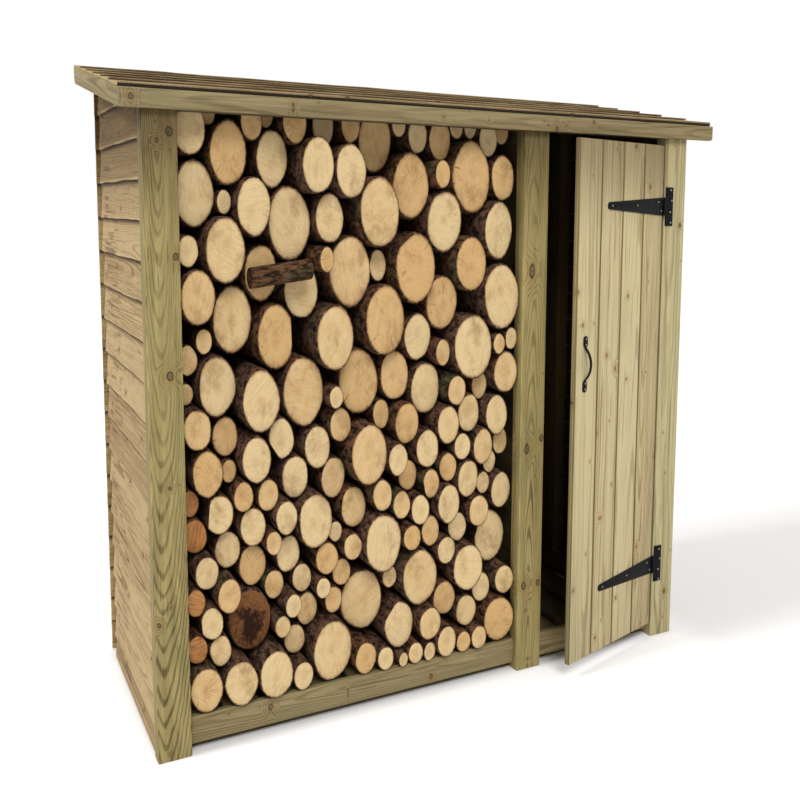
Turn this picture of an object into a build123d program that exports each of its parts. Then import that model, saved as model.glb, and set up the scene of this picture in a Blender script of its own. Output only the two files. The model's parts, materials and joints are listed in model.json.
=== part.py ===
from build123d import *
import math
import os
import random

# Log store of pressure treated softwood, filled with cut logs, with a tool cupboard at its right.
# Millimetres. X runs to the right, the front faces -Y, Z is up. The origin lies on the ground,
# under the middle of the frame.

# Overall frame, measured over the outer faces of the corner posts and the back boards
BODY_WIDTH = 1698
BODY_DEPTH = 732
FRONT_HEIGHT = 1709
ROOF_SLOPE = 10
CUPBOARD_WIDTH = 445

# Sawn timber sections
POST_WIDTH = 86
POST_DEPTH = 47
POST_CHAMFER = 2
BATTEN = 38
RAFTER_HEIGHT = 45
BEARER_WIDTH = 45
BEARER_HEIGHT = 76
FLOOR_BOARD_WIDTH = 95
FLOOR_BOARD_THICKNESS = 20
FLOOR_BOARD_GAP = 12
SILL_HEIGHT = 75
SILL_THICKNESS = 18
SILL_RECESS = 22
BACK_RAIL_HEIGHT = 70

# Feather edged cladding boards, thick at the lower edge
BOARD_HEIGHT = 125
BOARD_THICK_EDGE = 13
BOARD_THIN_EDGE = 4
BOARD_PITCH = 100.7
FIRST_BOARD_SHOWING = 72
CLADDING_GROUND_GAP = 10
CORNER_SHOWING = 66

# Roof
ROOF_BOARD_COUNT = 6
ROOF_BOARD_LAP = 22
ROOF_THICK_EDGE = 14
ROOF_THIN_EDGE = 5
ROOF_LEFT_OVERHANG = 50
ROOF_RIGHT_OVERHANG = 94
ROOF_BACK_OVERHANG = 20
FASCIA_HEIGHT = 49
FASCIA_THICKNESS = 16
FASCIA_CORNER_RADIUS = 9
ROOF_FRONT_SETBACK = 9
BARGE_END_RADIUS = 26

# Door
DOOR_BOARD_COUNT = 4
DOOR_THICKNESS = 16
DOOR_BOTTOM = 49
DOOR_TOP_GAP = 22
DOOR_FREE_GAP = 5
DOOR_HINGE_GAP = 4
DOOR_AJAR = 16.7
DOOR_BOARD_LAP = 8
DOOR_BOARD_CHAMFER = 2.5
LEDGE_HEIGHT = 70
LEDGE_THICKNESS = 16
LEDGE_MARGIN = 20

# T hinges
HINGE_BOTTOM_MARGIN = 205
HINGE_TOP_MARGIN = 193
STRAP_LENGTH = 300
STRAP_WIDTH = 58
STRAP_TIP_RADIUS = 11
HINGE_PLATE = 2.5
LEAF_WIDTH = 31
LEAF_HEIGHT = 123
KNUCKLE_RADIUS = 5
PIN_RADIUS = 2.5
PIN_CLEARANCE = 0.3
KNUCKLE_GAP = 0.4

# Pull handle
HANDLE_LENGTH = 170
HANDLE_CENTRE = 975
HANDLE_EDGE_DISTANCE = 45
HANDLE_WIDTH = 20
HANDLE_BOW_WIDTH = 10
HANDLE_PAD = 36
HANDLE_PLATE = 2.5
HANDLE_REACH = 22
HANDLE_BEND = 1

# Stored logs, upright ovals, by their half widths
LOG_LENGTH = 500
LOG_OVAL_LOW = 0.7
LOG_OVAL_HIGH = 0.57
BOTTOM_LOG = 44
LOWER_LOG = 35
UPPER_LOG = 54
FILLER_LOG = 27
SMALLEST_LOG = 19
OLD_LOG = 62
OLD_LOG_PLACE = 215
SIZE_SPREAD = 0.22
BOTTOM_ROW_SHARE = 0.06
LOWER_SHARE = 0.5
FILLER_SHARE = 0.2
STOUT_SHARE = 0.08
LOG_MIN_RECESS = 6
LOG_MAX_RECESS = 70
LOWEST_ROW_RECESS = 16
LOWEST_ROW_COUNT = 12
CROSS_LOG_X = 352
CROSS_LOG_HEIGHT = 1160
CROSS_LOG_LENGTH = 165
CROSS_LOG_THICKNESS = 62
CROSS_LOG_SIDES = 12
CROSS_LOG_COURSE = "log_course_4"
LOG_GAP = 0.3
LOG_HEADROOM = 3
LOG_SEED = 11
LOG_COURSES = 5
LOG_MAX_CORNER_ANGLE = 36
LOG_TRIES = 26
FILLER_STEP = 0.93
TOUCH = 0.01

SEAT_GAP = 0.3
JOINT_GAP = 0.3

# Places worked out from the sizes above
LEFT = -BODY_WIDTH / 2
RIGHT = BODY_WIDTH / 2
FRONT = -BODY_DEPTH / 2
BACK = BODY_DEPTH / 2
POST_BACK = FRONT + POST_DEPTH
WALL_PLANE = BODY_WIDTH / 2 - BOARD_THICK_EDGE
BACK_PLANE = BACK - BOARD_THICK_EDGE
BACK_LIMIT = 2 * BACK
DOORWAY_RIGHT = RIGHT - POST_WIDTH
DOORWAY_LEFT = DOORWAY_RIGHT - CUPBOARD_WIDTH
BAY_RIGHT = DOORWAY_LEFT - POST_WIDTH
PARTITION_X = (BAY_RIGHT + DOORWAY_LEFT) / 2
FLOOR_TOP = BEARER_HEIGHT + FLOOR_BOARD_THICKNESS
SLOPE = math.tan(math.radians(ROOF_SLOPE))


def roof_underside(y):
    """Height of the plane that the roof boards lie on."""
    return FRONT_HEIGHT + (y - FRONT) * SLOPE


def block(x0, x1, y0, y1, z0, z1):
    """A sawn piece between two corners."""
    return Pos((x0 + x1) / 2, (y0 + y1) / 2, (z0 + z1) / 2) * Box(x1 - x0, y1 - y0, z1 - z0)


def run_along_x(points, x0, x1):
    """A section given as (y, z) points, run from x0 to x1."""
    return extrude(Plane.YZ.offset(x0) * Polygon(*points, align=None), x1 - x0, dir=(1, 0, 0))


def run_along_y(points, y0, y1):
    """A section given as (x, z) points, run from y0 to y1."""
    return extrude(Plane.XZ.offset(-y0) * Polygon(*points, align=None), y1 - y0, dir=(0, 1, 0))


def sloped_piece(x0, x1, y0, y1, top_drop, height):
    """A piece that follows the roof, its top face top_drop under the boards."""
    top0 = roof_underside(y0) - top_drop
    top1 = roof_underside(y1) - top_drop
    return run_along_x([(y0, top0 - height), (y1, top1 - height), (y1, top1), (y0, top0)], x0, x1)


def front_posts():
    """Three posts whose heads are cut to the slope of the roof."""
    posts = {}
    places = {"left_front_post": LEFT, "middle_front_post": BAY_RIGHT, "right_front_post": DOORWAY_RIGHT}
    for name, x in places.items():
        section = [(FRONT, 0), (POST_BACK, 0), (POST_BACK, roof_underside(POST_BACK)),
                   (FRONT, roof_underside(FRONT))]
        post = run_along_x(section, x, x + POST_WIDTH)
        posts[name] = chamfer(post.edges().filter_by(Axis.Z), POST_CHAMFER)
    return posts


def back_posts():
    """Two posts that stand behind the side boards and carry the back boards."""
    posts = {}
    front = BACK_PLANE - POST_WIDTH
    section = [(front, 0), (BACK_PLANE, 0), (BACK_PLANE, roof_underside(BACK_PLANE) - RAFTER_HEIGHT),
               (front, roof_underside(front) - RAFTER_HEIGHT)]
    posts["left_back_post"] = run_along_x(section, -WALL_PLANE, -WALL_PLANE + POST_DEPTH)
    posts["right_back_post"] = run_along_x(section, WALL_PLANE - POST_DEPTH, WALL_PLANE)
    return posts


def upright_batten(x0, y0):
    """A square upright between the ground and a rafter."""
    y1 = y0 + BATTEN
    top0 = roof_underside(y0) - RAFTER_HEIGHT
    top1 = roof_underside(y1) - RAFTER_HEIGHT
    return run_along_x([(y0, 0), (y1, 0), (y1, top1), (y0, top0)], x0, x0 + BATTEN)


def wall_framing():
    """Battens behind the front posts, rafters over the walls, and the back rail."""
    pieces = {}
    pieces["left_wall_batten"] = upright_batten(-WALL_PLANE, POST_BACK)
    pieces["right_wall_batten"] = upright_batten(WALL_PLANE - BATTEN, POST_BACK)
    pieces["partition_battens"] = Compound([
        upright_batten(PARTITION_X, POST_BACK),
        upright_batten(PARTITION_X, BACK_PLANE - BATTEN),
    ])
    for name, x in (("left_rafter", -WALL_PLANE), ("partition_rafter", PARTITION_X),
                    ("right_rafter", WALL_PLANE - BATTEN)):
        pieces[name] = sloped_piece(x, x + BATTEN, POST_BACK, BACK_PLANE, 0, RAFTER_HEIGHT)
    log_bay = (-WALL_PLANE + POST_DEPTH, PARTITION_X - BOARD_THICK_EDGE)
    cupboard = (PARTITION_X + BATTEN, WALL_PLANE - POST_DEPTH)
    pieces["back_top_rails"] = Compound([
        sloped_piece(x0, x1, BACK_PLANE - BATTEN, BACK_PLANE, RAFTER_HEIGHT, BACK_RAIL_HEIGHT)
        for x0, x1 in (log_bay, cupboard)
    ])
    head = FRONT_HEIGHT - FASCIA_HEIGHT
    for name, x0, x1 in (("log_bay_head_rail", LEFT + POST_WIDTH, BAY_RIGHT),
                         ("doorway_head_rail", DOORWAY_LEFT, DOORWAY_RIGHT)):
        section = [(FRONT, head), (FRONT + BATTEN, head), (FRONT + BATTEN, roof_underside(FRONT + BATTEN)),
                   (FRONT, roof_underside(FRONT))]
        pieces[name] = run_along_x(section, x0, x1)
    return pieces


def floor():
    """Bearers on the ground, floor boards that run from front to back, and the two sills."""
    pieces = {}
    side = WALL_PLANE - BATTEN
    back_side = WALL_PLANE - POST_DEPTH
    pieces["floor_bearers"] = Compound([
        block(-side, PARTITION_X, POST_BACK, POST_BACK + BEARER_WIDTH, 0, BEARER_HEIGHT),
        block(PARTITION_X + BATTEN, side, POST_BACK, POST_BACK + BEARER_WIDTH, 0, BEARER_HEIGHT),
        block(-WALL_PLANE, WALL_PLANE, -BEARER_WIDTH / 2, BEARER_WIDTH / 2, 0, BEARER_HEIGHT),
        block(-back_side, PARTITION_X, BACK_PLANE - BEARER_WIDTH, BACK_PLANE, 0, BEARER_HEIGHT),
        block(PARTITION_X + BATTEN, back_side, BACK_PLANE - BEARER_WIDTH, BACK_PLANE, 0, BEARER_HEIGHT),
    ])
    pieces["log_bay_floor"] = floor_boards(-back_side + SEAT_GAP, PARTITION_X - BOARD_THICK_EDGE)
    pieces["cupboard_floor"] = floor_boards(PARTITION_X + BATTEN, back_side - SEAT_GAP)
    sill_front = FRONT + SILL_RECESS
    sill_back = sill_front + SILL_THICKNESS
    for name, x0, x1 in (("log_bay_sill", LEFT + POST_WIDTH, BAY_RIGHT),
                         ("cupboard_sill", DOORWAY_LEFT, DOORWAY_RIGHT)):
        pieces[name] = block(x0, x1, sill_front, sill_back, FLOOR_TOP - SILL_HEIGHT, FLOOR_TOP)
    return pieces


def floor_boards(x0, x1):
    """As many boards as fit between x0 and x1, with even gaps."""
    count = int((x1 - x0 + FLOOR_BOARD_GAP) // (FLOOR_BOARD_WIDTH + FLOOR_BOARD_GAP))
    pitch = (x1 - x0 - FLOOR_BOARD_WIDTH) / (count - 1)
    boards = []
    for i in range(count):
        x = x0 + i * pitch
        boards.append(block(x, x + FLOOR_BOARD_WIDTH, POST_BACK + SEAT_GAP, BACK_PLANE - SEAT_GAP,
                            BEARER_HEIGHT, FLOOR_TOP))
    return Compound(boards)


def lap_section(height, showing, thick, thin):
    """Feather edged board as (outward, up) points, rebated at the back to fit over the board below."""
    lap = height - showing
    under = thick + (thin - thick) * showing / height + JOINT_GAP
    return [(under, 0), (thick, 0), (thin, height), (0, height), (0, lap + JOINT_GAP),
            (thin + JOINT_GAP, lap + JOINT_GAP)]


def board_edges(top):
    """Heights of the lower edges of the cladding boards, from the ground up to top."""
    edges = [CLADDING_GROUND_GAP]
    edge = CLADDING_GROUND_GAP + FIRST_BOARD_SHOWING
    while edge < top - BOARD_THICK_EDGE:
        edges.append(edge)
        edge += BOARD_PITCH
    return edges


def cladding(place, top, cutter):
    """Lapped boards up to top, each placed by the place function and trimmed by the cutter."""
    boards = []
    for i, edge in enumerate(board_edges(top)):
        if i == 0:
            height = FIRST_BOARD_SHOWING + BOARD_HEIGHT - BOARD_PITCH
            section = [(0, 0), (BOARD_THICK_EDGE, 0), (BOARD_THIN_EDGE, height), (0, height)]
        else:
            section = lap_section(BOARD_HEIGHT, BOARD_PITCH, BOARD_THICK_EDGE, BOARD_THIN_EDGE)
        board = place([(out, edge + up) for out, up in section]) - cutter
        boards.extend(board.solids())
    return Compound(boards)


def walls():
    """Boarded left, right and back walls, and the boarded partition."""
    pieces = {}
    above = run_along_x([(FRONT, roof_underside(FRONT)), (BACK_LIMIT, roof_underside(BACK_LIMIT)),
                         (BACK_LIMIT, 2 * FRONT_HEIGHT), (FRONT, 2 * FRONT_HEIGHT)],
                        2 * LEFT, 2 * RIGHT)
    side_back = BACK - CORNER_SHOWING
    top = roof_underside(BACK)
    pieces["left_wall_cladding"] = cladding(
        lambda s: run_along_y([(-WALL_PLANE - out, z) for out, z in s], POST_BACK, side_back), top, above)
    pieces["right_wall_cladding"] = cladding(
        lambda s: run_along_y([(WALL_PLANE + out, z) for out, z in s], POST_BACK, side_back), top, above)
    pieces["back_wall_cladding"] = cladding(
        lambda s: run_along_x([(BACK_PLANE + out, z) for out, z in s], LEFT, RIGHT), top, above)
    pieces["partition_boards"] = partition_boards()
    return pieces


def partition_boards():
    """Plain boards stacked from the floor up to the rafter, on the log side of the partition."""
    boards = []
    z = FLOOR_TOP
    ceiling = roof_underside(POST_BACK)
    count = math.ceil((ceiling - z) / BOARD_HEIGHT)
    for i in range(count):
        z0 = z + i * BOARD_HEIGHT + SEAT_GAP
        z1 = min(z + (i + 1) * BOARD_HEIGHT, ceiling)
        boards.append(block(PARTITION_X - BOARD_THICK_EDGE, PARTITION_X, POST_BACK, BACK_PLANE, z0, z1))
    return Compound(boards)


def roof_point(y0, along, out):
    """Place on the roof's section, along the slope from y0 and outward from the plane under the boards."""
    angle = math.radians(ROOF_SLOPE)
    y = y0 + along * math.cos(angle) - out * math.sin(angle)
    z = roof_underside(y0) + along * math.sin(angle) + out * math.cos(angle) + SEAT_GAP
    return y, z


def roof():
    """Lapped roof boards laid on the slope, the front fascia and the two barge boards."""
    pieces = {}
    face = FRONT - FASCIA_THICKNESS
    y_front = face + ROOF_FRONT_SETBACK
    y_back = BACK + ROOF_BACK_OVERHANG
    x0 = LEFT - ROOF_LEFT_OVERHANG
    x1 = RIGHT + ROOF_RIGHT_OVERHANG
    run = (y_back - y_front) / math.cos(math.radians(ROOF_SLOPE))
    showing = (run - ROOF_BOARD_LAP) / ROOF_BOARD_COUNT
    height = showing + ROOF_BOARD_LAP
    for i in range(ROOF_BOARD_COUNT):
        if i == 0:
            section = [(0, 0), (ROOF_THICK_EDGE, 0), (ROOF_THIN_EDGE, height), (0, height)]
        else:
            section = lap_section(height, showing, ROOF_THICK_EDGE, ROOF_THIN_EDGE)
        points = [roof_point(y_front, i * showing + up, out) for out, up in section]
        pieces[f"roof_board_{i + 1}"] = run_along_x(points, x0, x1)
    fascia = block(x0, x1, face, FRONT, FRONT_HEIGHT - FASCIA_HEIGHT, roof_underside(face))
    corner = fascia.edges().filter_by(Axis.Y).group_by(Axis.Z)[0].sort_by(Axis.X)[-1]
    pieces["front_fascia"] = fillet(corner, FASCIA_CORNER_RADIUS)
    for name, x in (("left_barge_board", x0), ("right_barge_board", x1 - FASCIA_THICKNESS)):
        barge = sloped_piece(x, x + FASCIA_THICKNESS, FRONT, y_back, 0, FASCIA_HEIGHT)
        end = barge.edges().filter_by(Axis.X).group_by(Axis.Y)[-1].sort_by(Axis.Z)[0]
        pieces[name] = fillet(end, BARGE_END_RADIUS)
    return pieces


DOOR_TOP = FRONT_HEIGHT - FASCIA_HEIGHT - DOOR_TOP_GAP
HINGE_LOW = DOOR_BOTTOM + HINGE_BOTTOM_MARGIN
HINGE_HIGH = DOOR_TOP - HINGE_TOP_MARGIN
HINGE_X = DOORWAY_RIGHT - DOOR_HINGE_GAP / 2
HINGE_Y = FRONT - KNUCKLE_RADIUS - KNUCKLE_GAP
HINGE_AXIS = Axis((HINGE_X, HINGE_Y, 0), (0, 0, 1))


def door_board(x0, x1, laps_left, laps_right):
    """Upright board with chamfered front edges, half lapped over the board to its left."""
    front, half, back = FRONT, FRONT + DOOR_THICKNESS / 2, FRONT + DOOR_THICKNESS
    edge = DOOR_BOARD_CHAMFER
    points = [(x0, half), (x0, front + edge), (x0 + edge, front), (x1 - edge, front), (x1, front + edge)]
    if laps_right:
        tongue = x1 + DOOR_BOARD_LAP
        points += [(x1, half + JOINT_GAP), (tongue, half + JOINT_GAP), (tongue, back)]
    else:
        points += [(x1, back)]
    if laps_left:
        rebate = x0 + DOOR_BOARD_LAP + JOINT_GAP
        points += [(rebate, back), (rebate, half)]
    else:
        points += [(x0, back)]
    outline = Plane.XY.offset(DOOR_BOTTOM) * Polygon(*points, align=None)
    return extrude(outline, DOOR_TOP - DOOR_BOTTOM, dir=(0, 0, 1))


def door():
    """Boarded door with ledges behind, built shut and then swung ajar on its hinges."""
    x0 = DOORWAY_LEFT + DOOR_FREE_GAP
    x1 = DOORWAY_RIGHT - DOOR_HINGE_GAP
    width = (x1 - x0) / DOOR_BOARD_COUNT
    boards = []
    for i in range(DOOR_BOARD_COUNT):
        last = i == DOOR_BOARD_COUNT - 1
        left = x0 + i * width
        boards.append(door_board(left, left + width - (0 if last else JOINT_GAP), i > 0, not last))
    ledges = []
    inside = FRONT + DOOR_THICKNESS
    for z in (HINGE_LOW, (HINGE_LOW + HINGE_HIGH) / 2, HINGE_HIGH):
        ledges.append(block(x0 + LEDGE_MARGIN, x1 - LEDGE_MARGIN, inside, inside + LEDGE_THICKNESS,
                            z - LEDGE_HEIGHT / 2, z + LEDGE_HEIGHT / 2))
    pieces = {"door_boards": Compound(boards), "door_ledges": Compound(ledges), "door_handle": handle(x0)}
    pieces["upper_hinge_strap"] = hinge_strap(HINGE_HIGH)
    pieces["lower_hinge_strap"] = hinge_strap(HINGE_LOW)
    return {name: piece.rotate(HINGE_AXIS, DOOR_AJAR) for name, piece in pieces.items()}


def hinge_strap(z):
    """Tapered strap with the middle knuckle of the hinge."""
    near = HINGE_X - KNUCKLE_RADIUS - KNUCKLE_GAP
    tip = HINGE_X - STRAP_LENGTH + STRAP_TIP_RADIUS
    half = STRAP_WIDTH / 2
    corners = [(tip, -STRAP_TIP_RADIUS), (near, -half), (near, half), (tip, STRAP_TIP_RADIUS)]
    taper = Polygon(*corners, align=None)
    outline = taper + Pos(tip, 0) * Circle(STRAP_TIP_RADIUS)
    plate = Pos(0, FRONT, z) * extrude(Plane.XZ * outline, HINGE_PLATE)
    knuckle_half = STRAP_WIDTH / 4
    tab = block(near, HINGE_X, FRONT - HINGE_PLATE, FRONT - KNUCKLE_GAP, z - knuckle_half, z + knuckle_half)
    barrel = Pos(HINGE_X, HINGE_Y, z) * Cylinder(KNUCKLE_RADIUS, 2 * knuckle_half)
    bore = Pos(HINGE_X, HINGE_Y, z) * Cylinder(PIN_RADIUS + PIN_CLEARANCE, STRAP_WIDTH)
    return plate + tab + barrel - bore


def hinge_leaf(z):
    """Plate screwed to the post, with the two outer knuckles and the pin."""
    near = HINGE_X + KNUCKLE_RADIUS + KNUCKLE_GAP
    leaf = block(near, near + LEAF_WIDTH, FRONT - HINGE_PLATE, FRONT,
                 z - LEAF_HEIGHT / 2, z + LEAF_HEIGHT / 2)
    low = STRAP_WIDTH / 4 + KNUCKLE_GAP
    high = STRAP_WIDTH / 2
    for side in (-1, 1):
        middle = z + side * (low + high) / 2
        leaf += Pos(HINGE_X, HINGE_Y, middle) * Cylinder(KNUCKLE_RADIUS, high - low)
        leaf += block(HINGE_X, near, FRONT - HINGE_PLATE, FRONT - KNUCKLE_GAP, middle - (high - low) / 2,
                      middle + (high - low) / 2)
    leaf += Pos(HINGE_X, HINGE_Y, z) * Cylinder(PIN_RADIUS, STRAP_WIDTH)
    return leaf


def handle(free_edge):
    """Bow handle bent from flat bar, with a screw pad at each end."""
    x = free_edge + HANDLE_EDGE_DISTANCE
    half = HANDLE_LENGTH / 2
    bow = half - HANDLE_PAD
    outer = HANDLE_REACH
    outline = Polyline((0, -half), (0, -bow))
    arc = ThreePointArc((0, -bow), (-outer, 0), (0, bow))
    wide = bow + HANDLE_BEND
    inner = ThreePointArc((-HANDLE_PLATE, wide), (-outer - HANDLE_PLATE, 0), (-HANDLE_PLATE, -wide))
    end = Polyline((0, bow), (0, half), (-HANDLE_PLATE, half), (-HANDLE_PLATE, wide))
    start = Polyline((-HANDLE_PLATE, -wide), (-HANDLE_PLATE, -half), (0, -half))
    face = make_face([outline, arc, end, inner, start])
    bar = extrude(Plane.YZ.offset(x - HANDLE_WIDTH / 2) * face, HANDLE_WIDTH)
    outline = Rectangle(HANDLE_BOW_WIDTH, 2 * half - HANDLE_PAD)
    for side in (-1, 1):
        pad = Rot(0, 0, 90) * SlotOverall(HANDLE_PAD, HANDLE_WIDTH)
        outline += Pos(0, side * (half - HANDLE_PAD / 2)) * pad
    shape = Pos(x, HANDLE_REACH, 0) * extrude(Plane.XZ * outline, 4 * HANDLE_REACH)
    return Pos(0, FRONT, HANDLE_CENTRE) * (bar & shape)


def log_radius(level, rng):
    """Half width of the next log: stout in the lowest row and the upper half, with slim ones between."""
    if level < BOTTOM_ROW_SHARE:
        base = BOTTOM_LOG
    elif level < LOWER_SHARE:
        base = LOWER_LOG
    else:
        base = UPPER_LOG
    chance = rng.random()
    if chance < FILLER_SHARE:
        base = FILLER_LOG
    elif chance > 1 - STOUT_SHARE:
        base = UPPER_LOG
    return base * rng.uniform(1 - SIZE_SPREAD, 1 + SIZE_SPREAD)


def resting_places(radius, logs, x0, x1, z0):
    """Centres at which a round of this radius touches two of the floor, the walls and the other rounds."""
    places = [(x0 + radius, z0 + radius), (x1 - radius, z0 + radius)]
    for x, z, r in logs:
        reach = radius + r + LOG_GAP
        rise = z0 + radius - z
        if abs(rise) < reach:
            shift = math.sqrt(reach ** 2 - rise ** 2)
            places += [(x - shift, z0 + radius), (x + shift, z0 + radius)]
        for wall in (x0 + radius, x1 - radius):
            if abs(wall - x) < reach:
                places.append((wall, z + math.sqrt(reach ** 2 - (wall - x) ** 2)))
    for i, (xa, za, ra) in enumerate(logs):
        for xb, zb, rb in logs[i + 1:]:
            apart = math.hypot(xb - xa, zb - za)
            reach_a = radius + ra + LOG_GAP
            reach_b = radius + rb + LOG_GAP
            if apart < reach_a + reach_b:
                along = (reach_a ** 2 - reach_b ** 2 + apart ** 2) / (2 * apart)
                rise = math.sqrt(max(reach_a ** 2 - along ** 2, 0))
                ux, uz = (xb - xa) / apart, (zb - za) / apart
                side = 1 if ux > 0 else -1
                places.append((xa + along * ux - side * rise * uz, za + along * uz + side * rise * ux))
    return places


def settle(radius, logs, x0, x1, z0, z1, target=None):
    """The lowest free resting place for a round of this radius, or the one nearest to the target x."""
    places = resting_places(radius, logs, x0, x1, z0)
    places.sort(key=lambda place: place[1] if target is None else abs(place[0] - target))
    for x, z in places:
        inside = x0 + radius - TOUCH <= x <= x1 - radius + TOUCH and z0 + radius - TOUCH <= z <= z1 - radius
        if inside and all(math.hypot(x - a, z - b) > radius + r + LOG_GAP - TOUCH for a, b, r in logs):
            return x, z
    return None


def packed_height(height):
    """How high the stack is while its logs are still round."""
    return 2 * height / (1 / LOG_OVAL_LOW + 1 / LOG_OVAL_HIGH)


def stretch(z, height):
    """Height in the finished stack: round logs become upright ovals, slimmer towards the top."""
    growth = (1 / LOG_OVAL_HIGH - 1 / LOG_OVAL_LOW) / (2 * packed_height(height))
    return z / LOG_OVAL_LOW + growth * z ** 2


def stack_logs(x0, x1, high):
    """Rounds dropped one by one into the bay until they reach the packed height."""
    rng = random.Random(LOG_SEED)
    logs = []
    low = 0
    level = 0
    misses = 0
    old_waits = True
    while misses < LOG_TRIES:
        radius = log_radius(level, rng) * (1 - misses / (2 * LOG_TRIES))
        place = settle(radius, logs, x0, x1, low, high)
        if old_waits and level > BOTTOM_ROW_SHARE:
            radius = OLD_LOG
            place = settle(radius, logs, x0, x1, low, high, x0 + OLD_LOG_PLACE)
            old_waits = False
        if place is None:
            misses += 1
            continue
        logs.append((*place, radius))
        level = (place[1] - low) / (high - low)
    return logs + gap_fillers(logs, x0, x1, low, high)


def gap_fillers(logs, x0, x1, low, high):
    """Slim logs for the hollows that are left, from stout to slim."""
    fillers = []
    radius = FILLER_LOG
    while radius > SMALLEST_LOG:
        place = settle(radius, logs + fillers, x0, x1, low, high)
        if place is None:
            radius *= FILLER_STEP
        else:
            fillers.append((*place, radius))
    return fillers


def log_outline(log, logs, x0, x1, floor_top, height):
    """Corners of a log where it touches its neighbours, with more corners between them."""
    x, z, radius = log
    angles = []
    for a, b, r in logs:
        if (a, b, r) != log and math.hypot(a - x, b - z) < radius + r + 2 * LOG_GAP:
            angles.append(math.atan2(b - z, a - x) % math.tau)
    if z - radius < LOG_GAP:
        angles.append(1.5 * math.pi)
    if x - radius < x0 + LOG_GAP:
        angles.append(math.pi)
    if x + radius > x1 - LOG_GAP:
        angles.append(0)
    angles = sorted(angles) or [0]
    corners = []
    for i, angle in enumerate(angles):
        gap = (angles[(i + 1) % len(angles)] - angle) % math.tau or math.tau
        steps = max(1, round(gap / math.radians(LOG_MAX_CORNER_ANGLE)))
        corners += [angle + gap * k / steps for k in range(steps)]
    return [(x + radius * math.cos(a), floor_top + stretch(z + radius * math.sin(a), height))
            for a in corners]


def covers(outline, x0, x1, z0, z1):
    """Whether an outline of (x, z) points meets the rectangle between two corners."""
    xs = [x for x, z in outline]
    zs = [z for x, z in outline]
    return min(xs) < x1 and max(xs) > x0 and min(zs) < z1 and max(zs) > z0


def stored_logs():
    """The filled bay, as courses of logs from the floor up, and one log that lies across the others."""
    x0 = LEFT + POST_WIDTH + LOG_GAP
    x1 = BAY_RIGHT - LOG_GAP
    z0 = FLOOR_TOP + LOG_GAP
    height = roof_underside(FRONT + BATTEN) - LOG_HEADROOM - z0
    rail = FRONT_HEIGHT - FASCIA_HEIGHT - LOG_HEADROOM
    logs = sorted(stack_logs(x0, x1, packed_height(height)), key=lambda log: log[1])
    cross_x0 = LEFT + CROSS_LOG_X - CROSS_LOG_LENGTH / 2
    cross_x1 = LEFT + CROSS_LOG_X + CROSS_LOG_LENGTH / 2
    cross_z0 = FLOOR_TOP + CROSS_LOG_HEIGHT - CROSS_LOG_THICKNESS / 2
    cross_z1 = FLOOR_TOP + CROSS_LOG_HEIGHT + CROSS_LOG_THICKNESS / 2
    cross_back = FRONT + LOG_MIN_RECESS + CROSS_LOG_THICKNESS
    rng = random.Random(LOG_SEED)
    courses = {f"log_course_{i + 1}": [] for i in range(LOG_COURSES)}
    for i, log in enumerate(logs):
        outline = log_outline(log, logs, x0, x1, z0, height)
        front = FRONT + rng.uniform(LOG_MIN_RECESS, LOG_MAX_RECESS)
        if covers(outline, x0, x1, rail, 2 * FRONT_HEIGHT):
            front += BATTEN
        if covers(outline, cross_x0, cross_x1, cross_z0, cross_z1):
            front = cross_back + LOG_GAP
        if i < LOWEST_ROW_COUNT:
            front = FRONT + rng.uniform(LOG_MIN_RECESS, LOWEST_ROW_RECESS)
        piece = run_along_y(outline, front, front + LOG_LENGTH)
        courses[f"log_course_{i * LOG_COURSES // len(logs) + 1}"].append(piece)
    section = Plane.YZ.offset(cross_x0) * RegularPolygon(CROSS_LOG_THICKNESS / 2, CROSS_LOG_SIDES)
    cross = extrude(section, CROSS_LOG_LENGTH, dir=(1, 0, 0))
    place = Pos(0, cross_back - CROSS_LOG_THICKNESS / 2, FLOOR_TOP + CROSS_LOG_HEIGHT)
    courses[CROSS_LOG_COURSE].append(place * cross)
    return {name: Compound(pieces) for name, pieces in courses.items()}


parts = {}
parts.update(front_posts())
parts.update(back_posts())
parts.update(wall_framing())
parts.update(floor())
parts.update(walls())
parts.update(roof())
parts.update(door())
parts["upper_hinge_leaf"] = hinge_leaf(HINGE_HIGH)
parts["lower_hinge_leaf"] = hinge_leaf(HINGE_LOW)
parts.update(stored_logs())

os.makedirs("parts", exist_ok=True)
for name, piece in parts.items():
    export_step(piece, f"parts/{name}.step")
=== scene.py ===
import json
import math
import random

import bpy
from mathutils import Matrix, Vector, noise

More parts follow.
